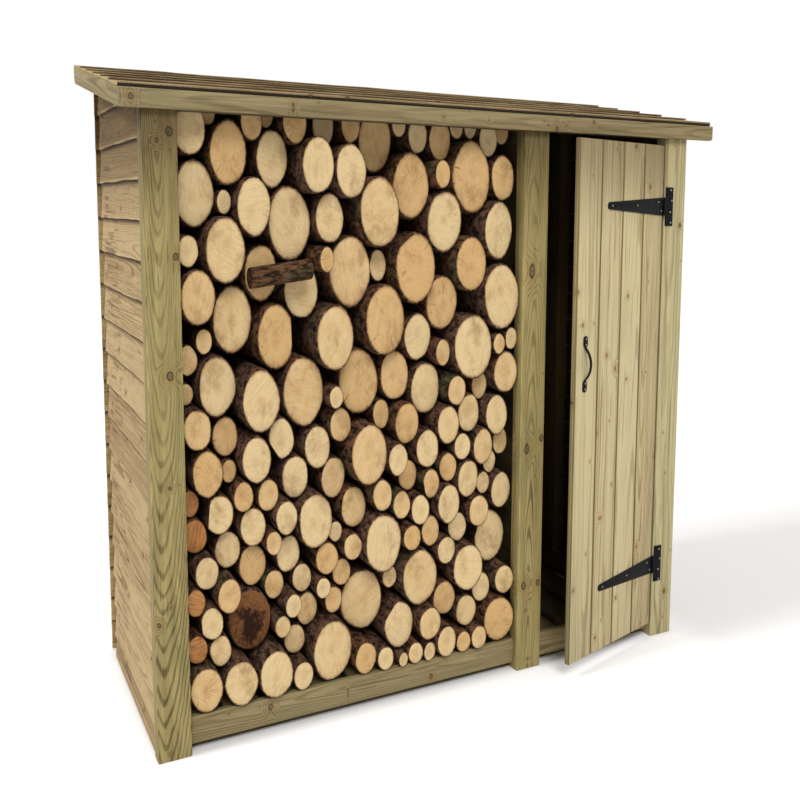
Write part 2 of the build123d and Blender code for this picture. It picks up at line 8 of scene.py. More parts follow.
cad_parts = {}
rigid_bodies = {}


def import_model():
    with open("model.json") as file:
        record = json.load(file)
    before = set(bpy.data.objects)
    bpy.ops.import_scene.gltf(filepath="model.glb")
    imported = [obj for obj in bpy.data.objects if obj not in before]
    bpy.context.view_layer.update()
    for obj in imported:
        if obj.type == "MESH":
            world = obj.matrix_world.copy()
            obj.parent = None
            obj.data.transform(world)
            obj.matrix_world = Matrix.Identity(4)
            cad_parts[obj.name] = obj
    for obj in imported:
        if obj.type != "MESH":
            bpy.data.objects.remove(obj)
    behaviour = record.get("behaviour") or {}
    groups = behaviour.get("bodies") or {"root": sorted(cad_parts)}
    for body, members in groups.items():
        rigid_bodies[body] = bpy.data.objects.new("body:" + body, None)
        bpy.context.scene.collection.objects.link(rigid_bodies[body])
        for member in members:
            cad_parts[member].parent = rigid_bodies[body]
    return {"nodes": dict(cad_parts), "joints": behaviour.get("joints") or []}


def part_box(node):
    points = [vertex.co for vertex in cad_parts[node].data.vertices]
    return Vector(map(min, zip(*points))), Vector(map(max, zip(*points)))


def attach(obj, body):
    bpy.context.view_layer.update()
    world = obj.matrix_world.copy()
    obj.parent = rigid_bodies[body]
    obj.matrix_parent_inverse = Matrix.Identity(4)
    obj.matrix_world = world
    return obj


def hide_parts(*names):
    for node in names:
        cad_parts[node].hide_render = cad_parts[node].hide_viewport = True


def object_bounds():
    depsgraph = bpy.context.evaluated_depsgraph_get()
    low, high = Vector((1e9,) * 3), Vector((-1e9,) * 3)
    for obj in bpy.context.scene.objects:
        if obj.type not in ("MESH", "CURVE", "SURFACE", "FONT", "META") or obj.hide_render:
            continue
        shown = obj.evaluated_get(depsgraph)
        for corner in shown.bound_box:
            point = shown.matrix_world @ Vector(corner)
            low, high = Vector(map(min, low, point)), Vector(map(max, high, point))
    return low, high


bl_info = {
    "name": "Log Store",
    "version": (1, 0, 0),
    "blender": (4, 5, 0),
    "location": "3D View > Sidebar > Log Store",
    "description": "Dresses a softwood log store: sawn timber, rough boards, door ironwork and stored logs",
    "category": "Add Mesh",
}

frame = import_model()
cad_low, cad_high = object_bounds()

X, Y, Z = 0, 1, 2

# The door's hinge line, how far the door stands ajar, and which way it faces and runs from that line
HINGE_PLACE = Vector(frame["joints"][0]["pos_m"])
DOOR_AJAR = math.radians(16.7)
DOOR_OUTWARD = Vector((math.sin(DOOR_AJAR), -math.cos(DOOR_AJAR), 0))
DOOR_ALONG = Vector((-math.cos(DOOR_AJAR), -math.sin(DOOR_AJAR), 0))

# Screws on a hinge strap, by distance from the hinge line and height from the hinge's middle
STRAP_SCREWS = ((0.277, 0.0), (0.147, 0.002), (0.032, 0.014), (0.016, -0.014))
# Screws on a hinge leaf, by place from its right edge and height from the hinge's middle
LEAF_SCREWS = ((-0.017, 0.053), (-0.012, 0.019), (-0.018, -0.017), (-0.015, -0.051))
# Screws on the handle, by distance from the hinge line and from either end of the handle
HANDLE_RUN = 0.391
HANDLE_SCREWS = (0.009, 0.027)
# Front of the ironwork on the door, measured outward from the hinge line
IRON_FACE = -0.0029
IRON_EASING = 0.0006
# A screw head's height, the rise of its dome, the depth of its recess, the width of each as a share of the
# radius, and the turn in radians from one screw to the next
SCREW_HEIGHT = 0.0012
SCREW_DOME = 0.0005
SCREW_RECESS = 0.0006
SCREW_STEP = 0.35
SCREW_TURN = 0.7

# The rotten log: its place across the front and height, how near a log must be and its least half width
ROTTEN_LOG = Vector((-0.58, 0.28))
ROTTEN_REACH = 0.13
ROTTEN_HALF_WIDTH = 0.058
# The orange split wood lies left of this place and below this height
SPLIT_WOOD_X = -0.72
SPLIT_WOOD_TOP = 0.85
# A log this many times wider than tall lies across, with this rise over run and share of its height
CROSS_LOG_WIDTH = 1.5
CROSS_LOG_TILT = 0.13
CROSS_LOG_HEIGHT = 0.95
# Mean size of a log before its knobs, and how far they stand out, as shares of its radius
LOG_SIZE = 0.965
LOG_KNOBS = 0.065
# Points farther out than this share of the radius are on the rim, where the bark is
RIM = 0.99
# How far the bark ends short of the cut face, as a share of the radius
BARK_SHORT = 0.05

# Slope of the roof, as rise over run
ROOF_SLOPE = math.tan(math.radians(10))
# Height of the painted shadow line between the fascia and the lowest roof board
GAP_SHADE = 0.009
# The shade of the eaves on the front starts at the first height and is full at the second
EAVES_SHADE = (1.30, 1.68)

# Height above a wall board's lower edge where the shade of the next board starts, is full, fades and ends
LAP_SHADE = (0.084, 0.0995, 0.1015, 0.106)
# Width of the strip along a sawn board's thick edge that wanders
SAWN_EDGE = 0.03
# A roof board's underside reaches this far above its lowest point and doesn't wander up or down
ROOF_UNDERSIDE = 0.004
# Where the wall boards are nailed to the back posts, measured from the front to the back
NAIL_LINE = 0.14
# Farther out than this the back wall's inner face shows from the side, so it gets no painted shade
BACK_POST_X = 0.80
# How often boards are cut across so that their edges can wander, how far back an end may lie, and easing
WALL_STEP, WALL_END_PLAY, WALL_EASING = 0.05, 0.011, 0.0008
ROOF_STEP, ROOF_END_PLAY, ROOF_EASING = 0.06, 0.006, 0.001
DOOR_EASING = 0.0008
# How far outside a board the heart of its tree lies
PITH_DEPTH = 0.035

# Each post and its finish
POSTS = {
    "left_front_post": "post_timber", "middle_front_post": "post_timber",
    "right_front_post": "pale_post_timber",
    "left_back_post": "dark_post_timber", "right_back_post": "dark_post_timber",
}
TRIM = ["front_fascia", "left_barge_board", "right_barge_board", "log_bay_sill", "cupboard_sill"]
FRAMING = [
    "left_wall_batten", "right_wall_batten", "partition_battens", "left_rafter", "partition_rafter",
    "right_rafter", "back_top_rails", "log_bay_head_rail", "doorway_head_rail", "floor_bearers",
    "log_bay_floor", "cupboard_floor", "partition_boards",
]
# Each boarded wall and the way it faces inward
WALLS = {
    "left_wall_cladding": Vector((1, 0, 0)), "right_wall_cladding": Vector((-1, 0, 0)),
    "back_wall_cladding": Vector((0, -1, 0)),
}
ROOF = [f"roof_board_{i}" for i in range(1, 7)]
# Each piece of ironwork and the body it rides on
IRONWORK = {
    "upper_hinge_strap": "door", "lower_hinge_strap": "door", "door_handle": "door",
    "upper_hinge_leaf": "root", "lower_hinge_leaf": "root",
}
LOG_COURSES = [f"log_course_{i}" for i in range(1, 6)]

# Where the heart of the tree lies in a post, as a share of its width and a depth, and how it leans
HEARTS = {"left_front_post": (0.15, -0.036, 0.055), "middle_front_post": (0.05, -0.016, -0.03)}

# Knots, nails and splits seen in the photograph: place across the front, height, half width, and length as
# so many times the width
POST_KNOTS = (
    (-0.783, 1.608, 0.009, 1.4), (-0.812, 1.586, 0.005, 1.4), (-0.774, 1.306, 0.007, 1.4),
    (-0.795, 1.010, 0.009, 1.4), (-0.838, 0.372, 0.005, 1.4), (-0.803, 0.725, 0.004, 1.4),
    (0.264, 1.248, 0.010, 2.2), (0.256, 0.706, 0.009, 1.8), (0.308, 0.735, 0.007, 1.6),
    (0.253, 0.273, 0.009, 1.5), (0.305, 0.274, 0.007, 1.6), (0.260, 0.192, 0.003, 1.2),
    (0.274, 0.032, 0.003, 1.2),
)
RIGHT_POST_KNOTS = ((0.831, 1.385, 0.006, 1.4), (0.818, 0.149, 0.006, 1.4))
DOOR_KNOTS = ((0.331, 0.863, 0.007, 1.0), (0.531, 0.945, 0.005, 1.6), (0.590, 0.905, 0.004, 1.4))
TRIM_KNOTS = (
    (-0.872, 1.685, 0.006, 1.4), (0.332, 1.667, 0.006, 1.4), (0.466, 1.695, 0.004, 1.4),
    (-0.045, 1.683, 0.003, 1.2), (0.100, 1.680, 0.003, 1.2), (0.301, 1.678, 0.003, 1.2),
    (0.366, 1.679, 0.003, 1.2), (-0.476, 1.682, 0.004, 3.0), (-0.320, 0.055, 0.002, 8.0),
    (-0.546, 0.070, 0.007, 1.4), (-0.055, 0.042, 0.006, 1.4),
)
# Random knots: how many cells of them there are in a metre, and the smallest and largest half width
KNOT_CELLS = 6.5
SMALL_KNOT = 0.002
LARGE_KNOT = 0.0095

# Viewpoint of the photograph, solved from the edges of the posts and sills
CAMERA_PLACE = (-1.2913, -2.7916, 1.428)
CAMERA_YAW = math.radians(29.33)
CAMERA_PITCH = math.radians(-6.66)
CAMERA_ROLL = math.radians(0.63)
CAMERA_LENS = 43.38
CAMERA_SHIFT = (-0.0942, -0.0969)

# Each sun's strength, width in degrees and direction
SUNS = {"daylight": (1.85, 25, (0.2, 1.0, -1.15)), "side_light": (1.25, 12, (1.6, 0.0, -1.5))}
SKY_COLOUR = (1.0, 0.98, 0.95, 1)
SKY_STRENGTH = 0.52

# The floor glows for the camera from the edge of the store outward, and less in its shadow at the right
FLOOR_SIZE = 60
FLOOR_GLOW = 0.22
BESIDE_STORE = (0.80, 0.90)
BEFORE_STORE = (0.34, 0.40)
SHADOW_ACROSS = (0.80, 1.0)
SHADOW_DEPTH = (-0.75, -0.45)
SHADOW_SHARE = 0.6


class Tap:
    """One output of a node, which takes part in Python sums."""

    def __init__(self, nodes, socket):
        self.nodes = nodes
        self.socket = socket

    def also(self, output):
        """Another output of the same node."""
        return Tap(self.nodes, self.socket.node.outputs[output])

    def __add__(self, other):
        return self.nodes.maths("ADD", self, other)

    def __radd__(self, other):
        return self.nodes.maths("ADD", other, self)

    def __sub__(self, other):
        return self.nodes.maths("SUBTRACT", self, other)

    def __rsub__(self, other):
        return self.nodes.maths("SUBTRACT", other, self)

    def __mul__(self, other):
        return self.nodes.maths("MULTIPLY", self, other)

    def __rmul__(self, other):
        return self.nodes.maths("MULTIPLY", other, self)

    def __truediv__(self, other):
        return self.nodes.maths("DIVIDE", self, other)

    def __rtruediv__(self, other):
        return self.nodes.maths("DIVIDE", other, self)


class Nodes:
    """The nodes of a material or of the sky."""

    def __init__(self, owner):
        owner.use_nodes = True
        self.tree = owner.node_tree
        self.tree.nodes.clear()

    def node(self, kind, settings=None, inputs=None, output=0):
        """Adds a node, sets it up, feeds its sockets and returns one output."""
        made = self.tree.nodes.new(kind)
        for key, value in (settings or {}).items():
            setattr(made, key, value)
        for key, value in (inputs or {}).items():
            if isinstance(value, Tap):
                self.tree.links.new(value.socket, made.inputs[key])
            else:
                made.inputs[key].default_value = value
        return Tap(self, made.outputs[output]) if len(made.outputs) else None

    def maths(self, operation, first, second=0.0, clamp=False):
        settings = {"operation": operation, "use_clamp": clamp}
        return self.node("ShaderNodeMath", settings, {0: first, 1: second})

    def vector(self, operation, first, second=(0, 0, 0), output="Vector"):
        return self.node("ShaderNodeVectorMath", {"operation": operation}, {0: first, 1: second}, output)

    def axes(self, vector):
        """The three coordinates of a vector."""
        x = self.node("ShaderNodeSeparateXYZ", None, {0: vector})
        return x, x.also("Y"), x.also("Z")

    def mix(self, factor, first, second, blend="MIX"):
        """Mixes two colours."""
        settings = {"data_type": "RGBA", "blend_type": blend, "clamp_factor": True}
        return self.node("ShaderNodeMix", settings, {0: factor, 6: first, 7: second}, 2)

    def darken(self, factor, colour, tint):
        """Multiplies a colour by a tint, as far as the factor says."""
        return self.mix(factor, colour, self.mix(1.0, colour, rgb(tint), "MULTIPLY"))

    def smooth(self, value, low, high, to_low=0.0, to_high=1.0):
        """A soft step between two levels."""
        inputs = {0: value, 1: low, 2: high, 3: to_low, 4: to_high}
        return self.node("ShaderNodeMapRange", {"interpolation_type": "SMOOTHSTEP"}, inputs)

    def noise(self, vector, scale, detail=2.0, roughness=0.5):
        inputs = {"Vector": vector, "Scale": scale, "Detail": detail, "Roughness": roughness}
        return self.node("ShaderNodeTexNoise", None, inputs)

    def seen(self):
        """One for what the camera sees, also in metal or through glass, and zero for other light."""
        camera = self.node("ShaderNodeLightPath", output="Is Camera Ray")
        mirrored = self.maths("MAXIMUM", camera, camera.also("Is Glossy Ray"))
        return self.maths("MAXIMUM", mirrored, camera.also("Is Transmission Ray"))


class Finish(Nodes):
    """One material, which can follow the grain of each board or log."""

    def __init__(self, name):
        self.material = bpy.data.materials.new(name)
        super().__init__(self.material)

    def place(self):
        """Where a point lies on the store."""
        return self.node("ShaderNodeTexCoord", output="Object")

    def attribute(self, name, output="Fac"):
        return self.node("ShaderNodeAttribute", {"attribute_name": name}, output=output)

    def grained(self, across, depth, along, detail=2.0, roughness=0.5):
        """Noise as fine as the three numbers say across, through and along the grain."""
        stretched = self.vector("MULTIPLY", self.attribute("grain", "Vector"), (across, depth, along))
        return self.noise(stretched, 1.0, detail, roughness)

    def from_heart(self):
        """The way from the heart of the tree, and its length."""
        flat = self.vector("MULTIPLY", self.attribute("grain", "Vector"), (1.0, 1.0, 0.0))
        return flat, self.vector("LENGTH", flat, output="Value")

    def rings(self, radius, spacing, low=-0.2):
        """Growth rings about the heart."""
        return self.smooth(self.maths("SINE", radius * (math.tau / spacing)), low, 1.0)

    def surface(self, colour, roughness, height, bump, distance, metallic=0.0, specular=0.3):
        """Joins colour, roughness and a height for the bump to the surface."""
        bumped = {"Height": height, "Strength": bump, "Distance": distance}
        shader = self.node("ShaderNodeBsdfPrincipled", None, {
            "Base Color": colour, "Roughness": roughness, "Metallic": metallic,
            "Specular IOR Level": specular, "Normal": self.node("ShaderNodeBump", None, bumped),
        })
        self.node("ShaderNodeOutputMaterial", None, {"Surface": shader})
        return self.material


def rgb(code):
    """A colour written as six hex digits, as linear red, green, blue and alpha."""
    channels = [int(code[i:i + 2], 16) / 255 for i in (0, 2, 4)]
    return tuple(c / 12.92 if c <= 0.04045 else ((c + 0.055) / 1.055) ** 2.4 for c in channels) + (1.0,)


def colour_of(value):
    """A colour of the settings by its name, or one written as six hex digits."""
    return tuple(getattr(settings(), value)) if value.endswith("_colour") else rgb(value)


def knot_reach(f, knot_rate, knots):
    """Distance from the nearest knot over its size, for small random knots and those listed."""
    across, _, along = f.axes(f.attribute("grain", "Vector"))
    flat = f.node("ShaderNodeCombineXYZ", None, {0: across, 1: along * 0.75, 2: 0.0})
    inputs = {"Vector": flat, "Scale": KNOT_CELLS}
    cells = f.node("ShaderNodeTexVoronoi", {"voronoi_dimensions": "2D"}, inputs)
    chance = f.node("ShaderNodeSeparateColor", None, {0: cells.also("Color")})
    reach = cells / KNOT_CELLS / f.smooth(chance, 0.0, 1.0, SMALL_KNOT, LARGE_KNOT * knot_rate)
    place = f.place()
    for x, z, size, tall in knots:
        offset = f.vector("MULTIPLY", f.vector("SUBTRACT", place, (x, 0.0, z)), (1.0, 0.0, 1.0 / tall))
        reach = f.maths("MINIMUM", reach, f.vector("LENGTH", offset, output="Value") / size)
    return reach + (f.grained(150.0, 150.0, 110.0) - 0.5) * 0.5


def knot_colour(f, reach, fibres, colours):
    """A knot's lighter heart and dark rim."""
    heart = f.mix(f.smooth(fibres, 0.3, 0.7), rgb(colours[0]), rgb(colours[1]))
    rim = f.maths("MAXIMUM", f.smooth(reach, 0.45, 0.8), f.smooth(reach, 0.1, 0.3, 0.8, 0.0))
    return f.mix(rim, heart, rgb(colours[2]))


def late_wood(f, halo, ring):
    """Dark late wood of the growth rings, which bend about a knot."""
    across, depth, _ = f.axes(f.attribute("grain", "Vector"))
    bend = (f.grained(9.0, 9.0, 1.4, 3.0) - 0.5) * 0.022
    radius = f.maths("SQRT", across * across + depth * depth) + bend + halo * 0.011
    return f.rings(radius, ring, 0.1)


def wood_colour(f, pale, dark, late, fibres):
    """Pale and dark wood by rings, fibres, streaks and the board's own tone."""
    ring_strength = f.smooth(f.grained(14.0, 14.0, 0.7), 0.3, 0.7, 0.25, 1.0)
    streaks = f.grained(70.0, 70.0, 2.2, 3.0, 0.55)
    tone = f.attribute("tone")
    blend = late * ring_strength * 0.62 + (fibres - 0.5) * 0.7 + (streaks - 0.5) * 1.2
    blend = blend + (tone - 0.5) * 0.6 + 0.16
    return f.mix(f.maths("ADD", blend, 0.0, True), colour_of(pale), colour_of(dark))


def add_saw_marks(f, colour, height, marks, dark, patches, edge_tint_and_painted_shadow):
    """Marks of the saw across the board, the shade of the next board and a tinted lower edge: paler on the
    walls, a painted shadow line on the roof.
    """
    kerf = f.grained(60.0, 60.0, 420.0, 2.0, 0.7)
    fuzz = f.grained(700.0, 700.0, 260.0, 2.0, 0.7)
    colour = f.mix(f.smooth(kerf, 0.35, 0.7, 0.0, 0.35 * marks), colour, colour_of(dark))
    up = f.attribute("up")
    start, full, fade, end = LAP_SHADE
    lap = f.smooth(up, start, full) * f.smooth(up, fade, end, 1.0, 0.0)
    edge = f.smooth(up, 0.0, 0.010, 1.0, 0.0)
    colour = f.darken(lap * 0.9, colour, "5A4A36")
    # Tint along the lower edge: paler on the wall boards, and a painted shadow line on the roof boards
    edge_colour, edge_strength = edge_tint_and_painted_shadow
    colour = f.mix(edge * f.smooth(patches, 0.3, 0.6) * edge_strength, colour, rgb(edge_colour))
    return colour, height + kerf * 1.2 * marks + fuzz * 0.8 * marks


def add_nail_line(f, colour, height, nail_line, patches):
    """Wood torn along the nails, and the faint line of the post behind."""
    _, depth, _ = f.axes(f.place())
    off_line = f.maths("ABSOLUTE", depth - nail_line)
    near = f.smooth(off_line, 0.03, 0.15, 1.0, 0.0)
    line = f.smooth(off_line, 0.0008, 0.0025, 0.3, 0.0)
    torn = f.grained(75.0, 75.0, 4.5, 3.0, 0.65)
    split = f.smooth(torn, 0.54, 0.61) * f.smooth(near, 0.1, 0.6)
    colour = f.mix(split * 0.6, colour, rgb("5E4226"))
    colour = f.mix(line * f.smooth(patches, 0.35, 0.6), colour, rgb("5A4428"))
    return colour, height - split * 3.0


def sawn_timber(name, pale, dark, moss, knot_rate=1.0, roughness=0.72, ring=0.0045, knots=(), eaves_shade=0.0,
                knot_colours=("84724C", "5C4C30", "2C281C"), seams=0.0, saw_marks=0.0,
                edge_tint_and_painted_shadow=("D2BE94", 0.6), nail_line=None):
    """Softwood that follows each board's own grain: growth rings, fibres, knots and stains, with painted
    shade under the eaves, below the laps and along the door seams.
    """
    f = Finish(name)
    reach = knot_reach(f, knot_rate, knots)
    knot = f.smooth(reach, 0.8, 1.2, 1.0, 0.0)
    halo = f.smooth(reach, 0.9, 4.3, 1.0, 0.0)
    late = late_wood(f, halo, ring)
    fibres = f.grained(420.0, 420.0, 9.0, 3.0, 0.6)
    patches = f.grained(12.0, 12.0, 3.0, 4.0, 0.6)
    check = f.smooth(f.grained(160.0, 160.0, 1.6, 1.0), 0.70, 0.735)
    colour = wood_colour(f, pale, dark, late, fibres)
    colour = f.mix(f.smooth(patches, 0.5, 0.75, 0.0, 0.45), colour, rgb(moss))
    colour = f.mix(check * 0.55, colour, rgb("4A3A22"))
    colour = f.mix(halo * 0.30, colour, rgb("8A6436"))
    colour = f.mix(knot * 0.92, colour, knot_colour(f, reach, fibres, knot_colours))
    # Painted shade along the edges of each door board, where the boards meet
    if seams:
        side = f.smooth(f.maths("ABSOLUTE", f.attribute("side")), 0.80, 0.99, 0.0, seams)
        colour = f.darken(side, colour, "8E8468")
    _, _, above_ground = f.axes(f.place())
    colour = f.darken(f.smooth(above_ground, *EAVES_SHADE) * eaves_shade, colour, "9A9282")
    height = fibres * 0.5 + late * 0.35 - check * 1.4 - knot * 0.3
    if saw_marks:
        colour, height = add_saw_marks(f, colour, height, saw_marks, dark, patches, edge_tint_and_painted_shadow)
    if nail_line is not None:
        colour, height = add_nail_line(f, colour, height, nail_line, patches)
    rough = f.smooth(fibres, 0.2, 0.8, roughness - 0.06, roughness + 0.12)
    return f.surface(colour, rough, height, 0.45, 0.0012)


def rotten_wood(f, radius, fibres, decay):
    """Crumbling brown wood about a dark hollow."""
    hollow = f.smooth(radius + (decay - 0.5) * 0.13, 0.018, 0.052)
    brown = f.mix(f.smooth(fibres, 0.35, 0.65), rgb("8E6038"), rgb("5A3820"))
    return f.mix(hollow, rgb("2A160A"), brown)


def log_end(name):
    """Cut end of a log: faint rings about the pith, saw arcs, radial cracks, a darker rim and heart."""
    f = Finish(name)
    tone = f.attribute("tone")
    rot = f.attribute("rot")
    flat, distance = f.from_heart()
    radius = distance + (f.grained(26.0, 26.0, 3.0, 3.0) - 0.5) * 0.012
    rings = f.rings(radius, 0.0046)
    fibres = f.grained(380.0, 380.0, 20.0, 4.0, 0.7)
    arcs = f.grained(28.0, 230.0, 20.0, 3.0, 0.7)
    cloud = f.grained(34.0, 34.0, 6.0, 4.0, 0.6)
    stain = f.grained(15.0, 15.0, 5.0, 4.0, 0.7)
    decay = f.grained(55.0, 55.0, 5.0, 5.0, 0.65)
    warmth = f.smooth(tone + (cloud - 0.5) * 0.9, 0.2, 1.0)
    colour = f.mix(warmth, colour_of("log_colour"), rgb("D1AA74"))
    colour = f.mix(rings * 0.09, colour, rgb("A47C4B"))
    colour = f.mix(f.smooth(fibres, 0.45, 0.75, 0.0, 0.32), colour, rgb("94744A"))
    colour = f.mix(f.smooth(arcs, 0.45, 0.75, 0.0, 0.34), colour, rgb("A5855A"))
    colour = f.mix(f.smooth(stain, 0.50, 0.72, 0.0, 0.6), colour, rgb("96754C"))
    colour = f.mix(f.smooth(radius, 0.002, 0.016, 0.2, 0.0), colour, rgb("9A6A3A"))
    spokes = f.noise(f.vector("NORMALIZE", flat), 5.5, 2.0, 0.5)
    crack = f.smooth(f.maths("ABSOLUTE", spokes - 0.5), 0.0, 0.014, 1.0, 0.0) * f.smooth(cloud, 0.5, 0.6)
    colour = f.mix(crack * f.smooth(tone, 0.55, 0.8) * 0.7, colour, rgb("4A2E18"))
    ragged = f.attribute("rim") + (fibres - 0.5) * 0.10 + (cloud - 0.5) * 0.08
    colour = f.mix(f.smooth(ragged, 0.86, 0.97, 0.0, 0.75), colour, rgb("6E4C2C"))
    orange = f.mix(f.smooth(arcs, 0.3, 0.7), rgb("C07A3C"), rgb("7A4520"))
    colour = f.mix(f.attribute("split"), colour, orange)
    colour = f.mix(rot, colour, rotten_wood(f, radius, fibres, decay))
    height = fibres * 0.6 + arcs * 0.7 + rings * 0.25 - crack * 1.4 + decay * rot * 4.0
    return f.surface(colour, 0.8, height, 0.55, 0.0015, specular=0.15)


def bark(name):
    """Bark: scales with deep furrows darkened by painted shade, some green, some red brown."""
    f = Finish(name)
    tone = f.attribute("tone")
    scales = f.grained(85.0, 85.0, 34.0, 5.0, 0.7)
    cloud = f.grained(16.0, 16.0, 7.0, 3.0)
    green = f.smooth(cloud + (tone - 0.5) * 0.5, 0.48, 0.7, 0.0, 0.6)
    red = f.smooth(cloud - (tone - 0.5) * 0.5, 0.3, 0.5, 0.5, 0.0)
    colour = f.mix(red, f.mix(green, rgb("64493A"), rgb("444E30")), rgb("7A4632"))
    # Dark furrows between the scales: darker inner bark and painted shade in the creases
    colour = f.mix(f.smooth(scales, 0.38, 0.60), rgb("1E1610"), colour)
    colour = f.mix(f.smooth(scales, 0.62, 0.72, 0.0, 0.5), colour, rgb("9A8264"))
    return f.surface(colour, 0.92, scales, 0.9, 0.004, specular=0.1)


def end_grain(name, pale, dark):
    """Sawn end of a board: short dark pores and a few rings."""
    f = Finish(name)
    pores = f.grained(520.0, 520.0, 40.0, 3.0, 0.7)
    rings = f.rings(f.from_heart()[1], 0.004)
    colour = f.mix(f.smooth(pores, 0.35, 0.7), rgb(pale), rgb(dark))
    colour = f.mix(rings * 0.35, colour, rgb(dark))
    return f.surface(colour, 0.85, pores, 0.5, 0.001, specular=0.15)


def black_iron(name):
    """Black coated steel with a fine orange peel and a few dull patches."""
    f = Finish(name)
    peel = f.noise(f.place(), 900.0)
    dull = f.noise(f.place(), 60.0, 3.0)
    colour = f.mix(f.smooth(dull, 0.45, 0.7), rgb("0B0B0D"), rgb("131316"))
    return f.surface(colour, f.smooth(dull, 0.3, 0.7, 0.45, 0.62), peel, 0.2, 0.0005, specular=0.10)


def bright_steel(name):
    """Zinc plated screw heads."""
    f = Finish(name)
    dull = f.noise(f.place(), 500.0, 3.0)
    colour = f.mix(dull, rgb("6E6C66"), rgb("A8A6A0"))
    return f.surface(colour, f.smooth(dull, 0.3, 0.7, 0.3, 0.5), dull, 0.1, 0.0003, metallic=0.9)


# Every timber finish: pale, dark and moss colours, and what sets it apart from plain softwood
TIMBERS = {
    "post_timber": dict(pale="post_colour", dark="50401E", moss="77774A", knot_rate=0.0, roughness=0.7,
                        ring=0.0036, knots=POST_KNOTS, eaves_shade=0.9),
    "pale_post_timber": dict(pale="BFB48A", dark="807146", moss="98976C", knot_rate=0.0, roughness=0.7,
                             knots=RIGHT_POST_KNOTS, eaves_shade=0.3),
    "dark_post_timber": dict(pale="7E6840", dark="4A3A1E", moss="6A5E38", knot_rate=0.6, roughness=0.75),
    "trim_timber": dict(pale="trim_colour", dark="635537", moss="787551", knot_rate=0.0, knots=TRIM_KNOTS),
    # Framing inside the store: darker than the outside timber, painted shade of the store's inside
    "framing_timber": dict(pale="554A30", dark="352B19", moss="434228", knot_rate=0.7),
    # Inner faces of the wall boards and undersides of the roof boards: painted shade, darker than the wood is
    "inside_boards": dict(pale="3C301C", dark="20180C", moss="2C2616", knot_rate=0.7, roughness=0.85),
    "door_timber": dict(pale="door_colour", dark="8A7148", moss="A09A72", knot_rate=0.55, roughness=0.68,
                        ring=0.006, knots=DOOR_KNOTS, eaves_shade=0.8,
                        knot_colours=("A87A50", "8C6040", "6E4A30"), seams=0.75),
    "door_seams": dict(pale="75673F", dark="4A3E24", moss="5E5A3A", knot_rate=0.0, roughness=0.8),
    "rough_boards": dict(pale="wall_colour", dark="745630", moss="988055", knot_rate=0.6, roughness=0.85,
                         saw_marks=1.0, eaves_shade=1.0, nail_line=NAIL_LINE),
    # Roof boards: the dark lower edge is a painted shadow line under each board's front edge
    "roof_timber": dict(pale="roof_colour", dark="513D25", moss="6A5F40", knot_rate=0.6, roughness=0.85,
                        saw_marks=1.2, edge_tint_and_painted_shadow=("1E160C", 0.85)),
    # A painted shadow line on the lowest roof board, just above the fascia
    "dark_gap": dict(pale="30261E", dark="17110C", moss="221C14", knot_rate=0.0, roughness=0.9),
}
BOARD_ENDS = {"roof_end_grain": ("CDB98C", "9A8356"), "end_grain": ("BBA97F", "7E683E")}
OTHER_FINISHES = {"log_end": log_end, "bark": bark, "black_iron": black_iron, "bright_steel": bright_steel}

FINISHES = {}


def make_finish(name):
    """A new material, by its name in the lists above."""
    if name in TIMBERS:
        return sawn_timber(name, **TIMBERS[name])
    if name in BOARD_ENDS:
        return end_grain(name, *BOARD_ENDS[name])
    return OTHER_FINISHES[name](name)


def finish(name):
    """Each finish is made once, when a piece first needs it."""
    if name not in FINISHES:
        FINISHES[name] = make_finish(name)
    return FINISHES[name]


def pick_none():
    """Nothing selected, nothing active, object mode."""
    if bpy.context.object and bpy.context.object.mode != "OBJECT":
        bpy.ops.object.mode_set(mode="OBJECT")
    for piece in bpy.context.view_layer.objects:
        piece.select_set(False)
    bpy.context.view_layer.objects.active = None


def pick(*pieces):
    """Only these selected, the last one active."""
    pick_none()
    for piece in pieces:
        piece.select_set(True)
    bpy.context.view_layer.objects.active = pieces[-1]


def edit(piece):
    """Edit mode with everything selected."""
    pick(piece)
    bpy.ops.object.mode_set(mode="EDIT")
    bpy.ops.mesh.select_mode(type="VERT")
    bpy.ops.mesh.select_all(action="SELECT")


def leave_edit():
    bpy.ops.object.mode_set(mode="OBJECT")


def copy_piece(source, name):
    """A new object with its own copy of the source's mesh."""
    piece = bpy.data.objects.new(name, source.data.copy())
    bpy.context.scene.collection.objects.link(piece)
    return piece


def copy_node(node, name):
    """A copy of a CAD node's mesh as a clean solid: doubles merged and flat faces joined."""
    piece = copy_piece(frame["nodes"][node], name)
    piece.data.materials.clear()
    edit(piece)
    bpy.ops.mesh.remove_doubles(threshold=0.00002)
    bpy.ops.mesh.dissolve_limited(angle_limit=math.radians(1))
    leave_edit()
    return piece


def corners(part):
    """Lowest and highest corner of a mesh that sits at the origin."""
    points = [v.co for v in part.data.vertices]
    low = Vector(tuple(min(p[i] for p in points) for i in range(3)))
    high = Vector(tuple(max(p[i] for p in points) for i in range(3)))
    return low, high


def middle(part):
    low, high = corners(part)
    return (low + high) / 2


def split_boards(piece):
    """Each loose board or log of a piece as its own object."""
    pick(piece)
    bpy.ops.mesh.separate(type="LOOSE")
    return sorted(bpy.context.selected_objects, key=lambda part: tuple(round(v, 5) for v in middle(part)))


def join(parts, name):
    """One object of several, at the origin."""
    pick(*parts)
    if len(parts) > 1:
        bpy.ops.object.join()
    made = bpy.context.object
    made.name = name
    made.data.name = name
    return made


def apply_bevel(part, width, segments=2, angle=30):
    """Eased edges."""
    pick(part)
    bevel = part.modifiers.new("eased", "BEVEL")
    bevel.width = width
    bevel.segments = segments
    bevel.limit_method = "ANGLE"
    bevel.angle_limit = math.radians(angle)
    bpy.ops.object.modifier_apply(modifier=bevel.name)


